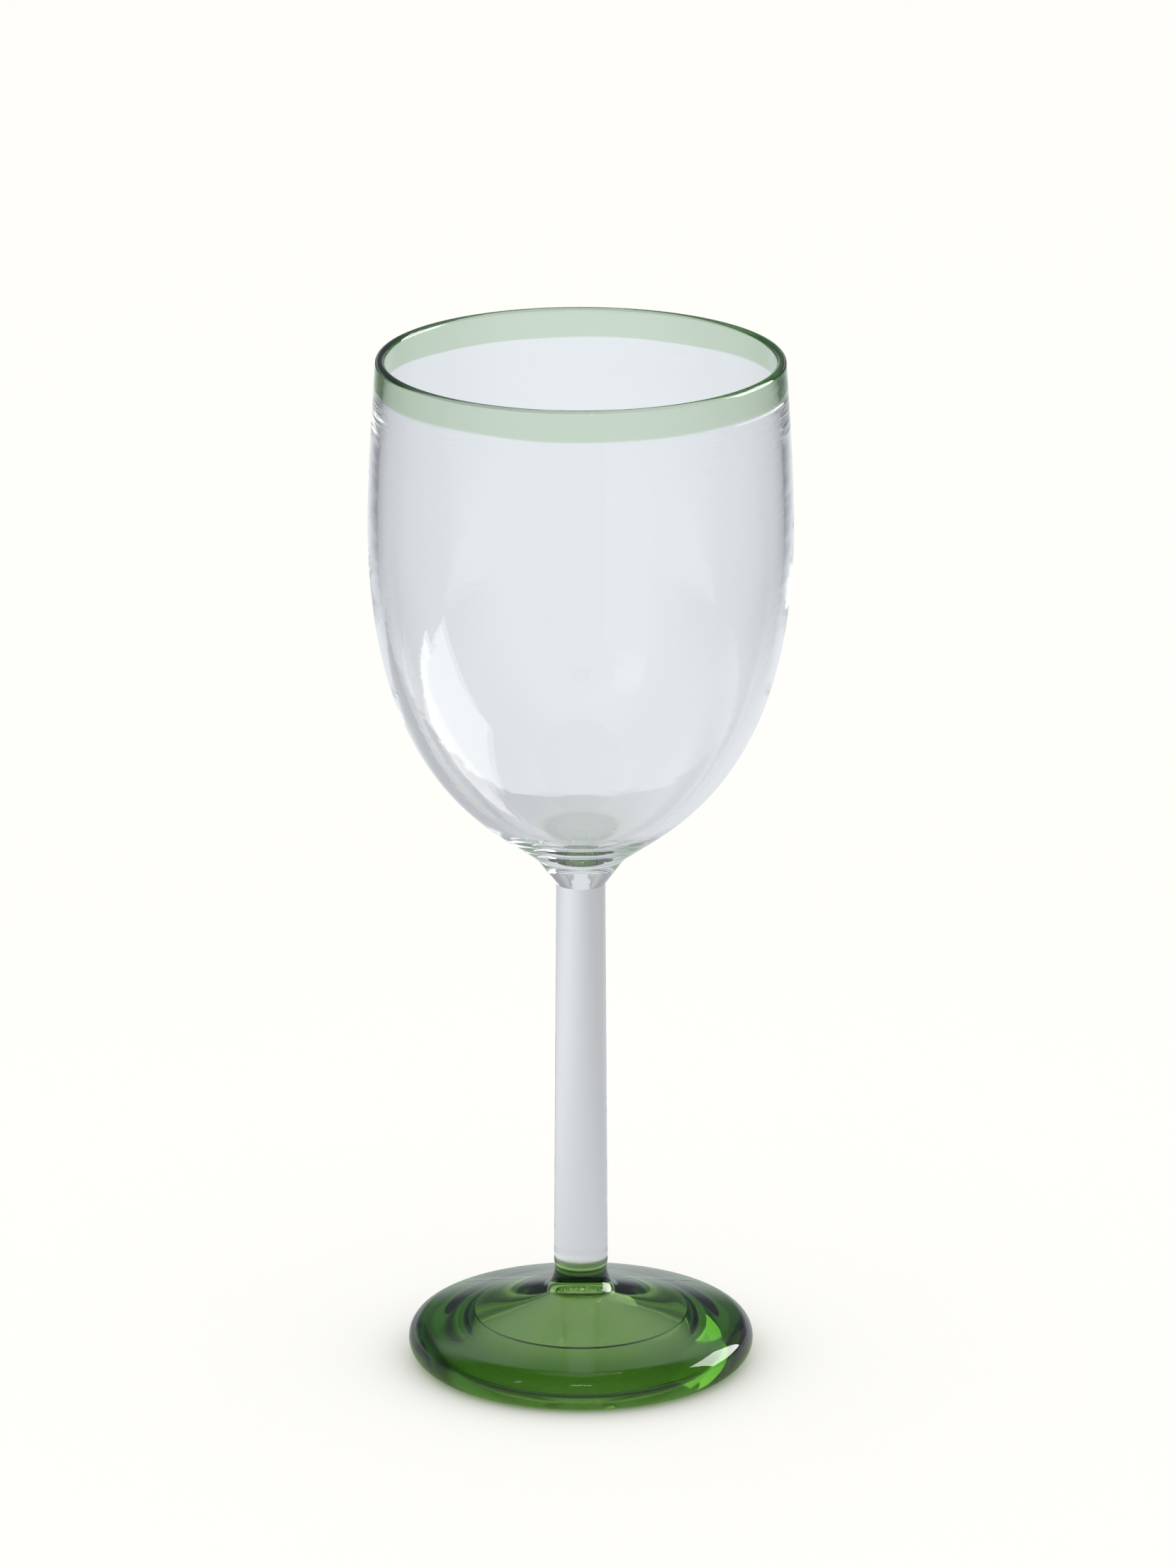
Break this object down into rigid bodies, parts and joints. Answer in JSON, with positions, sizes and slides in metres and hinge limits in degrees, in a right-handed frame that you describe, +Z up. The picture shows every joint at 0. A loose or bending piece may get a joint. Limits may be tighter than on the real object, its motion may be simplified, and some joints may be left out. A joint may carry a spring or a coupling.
{
  "type": "stemmed wine glass",
  "caption": "Stemmed wine glass: deep blown clear bowl with a green rim band, short solid neck, clear rod stem and a thick round-edged green foot with a hollow underside.",
  "frame": {"origin": "on the table plane, at the centre of the foot", "axes": "+Z up the stem's axis to the mouth; the glass is round, so +X and +Y are alike"},
  "size_m": [0.083, 0.083, 0.206],
  "materials": {
    "clear_glass": "clear soda-lime glass, fire-polished, with faint tooling ripples",
    "green_glass": "transparent grass-green glass, fire-polished, pale where thin and deep where thick"
  },
  "bodies": {
    "root": {"rim_band": "green_glass", "bowl": "clear_glass", "neck": "clear_glass", "stem": "clear_glass", "foot": "green_glass"}
  },
  "joints": []
}
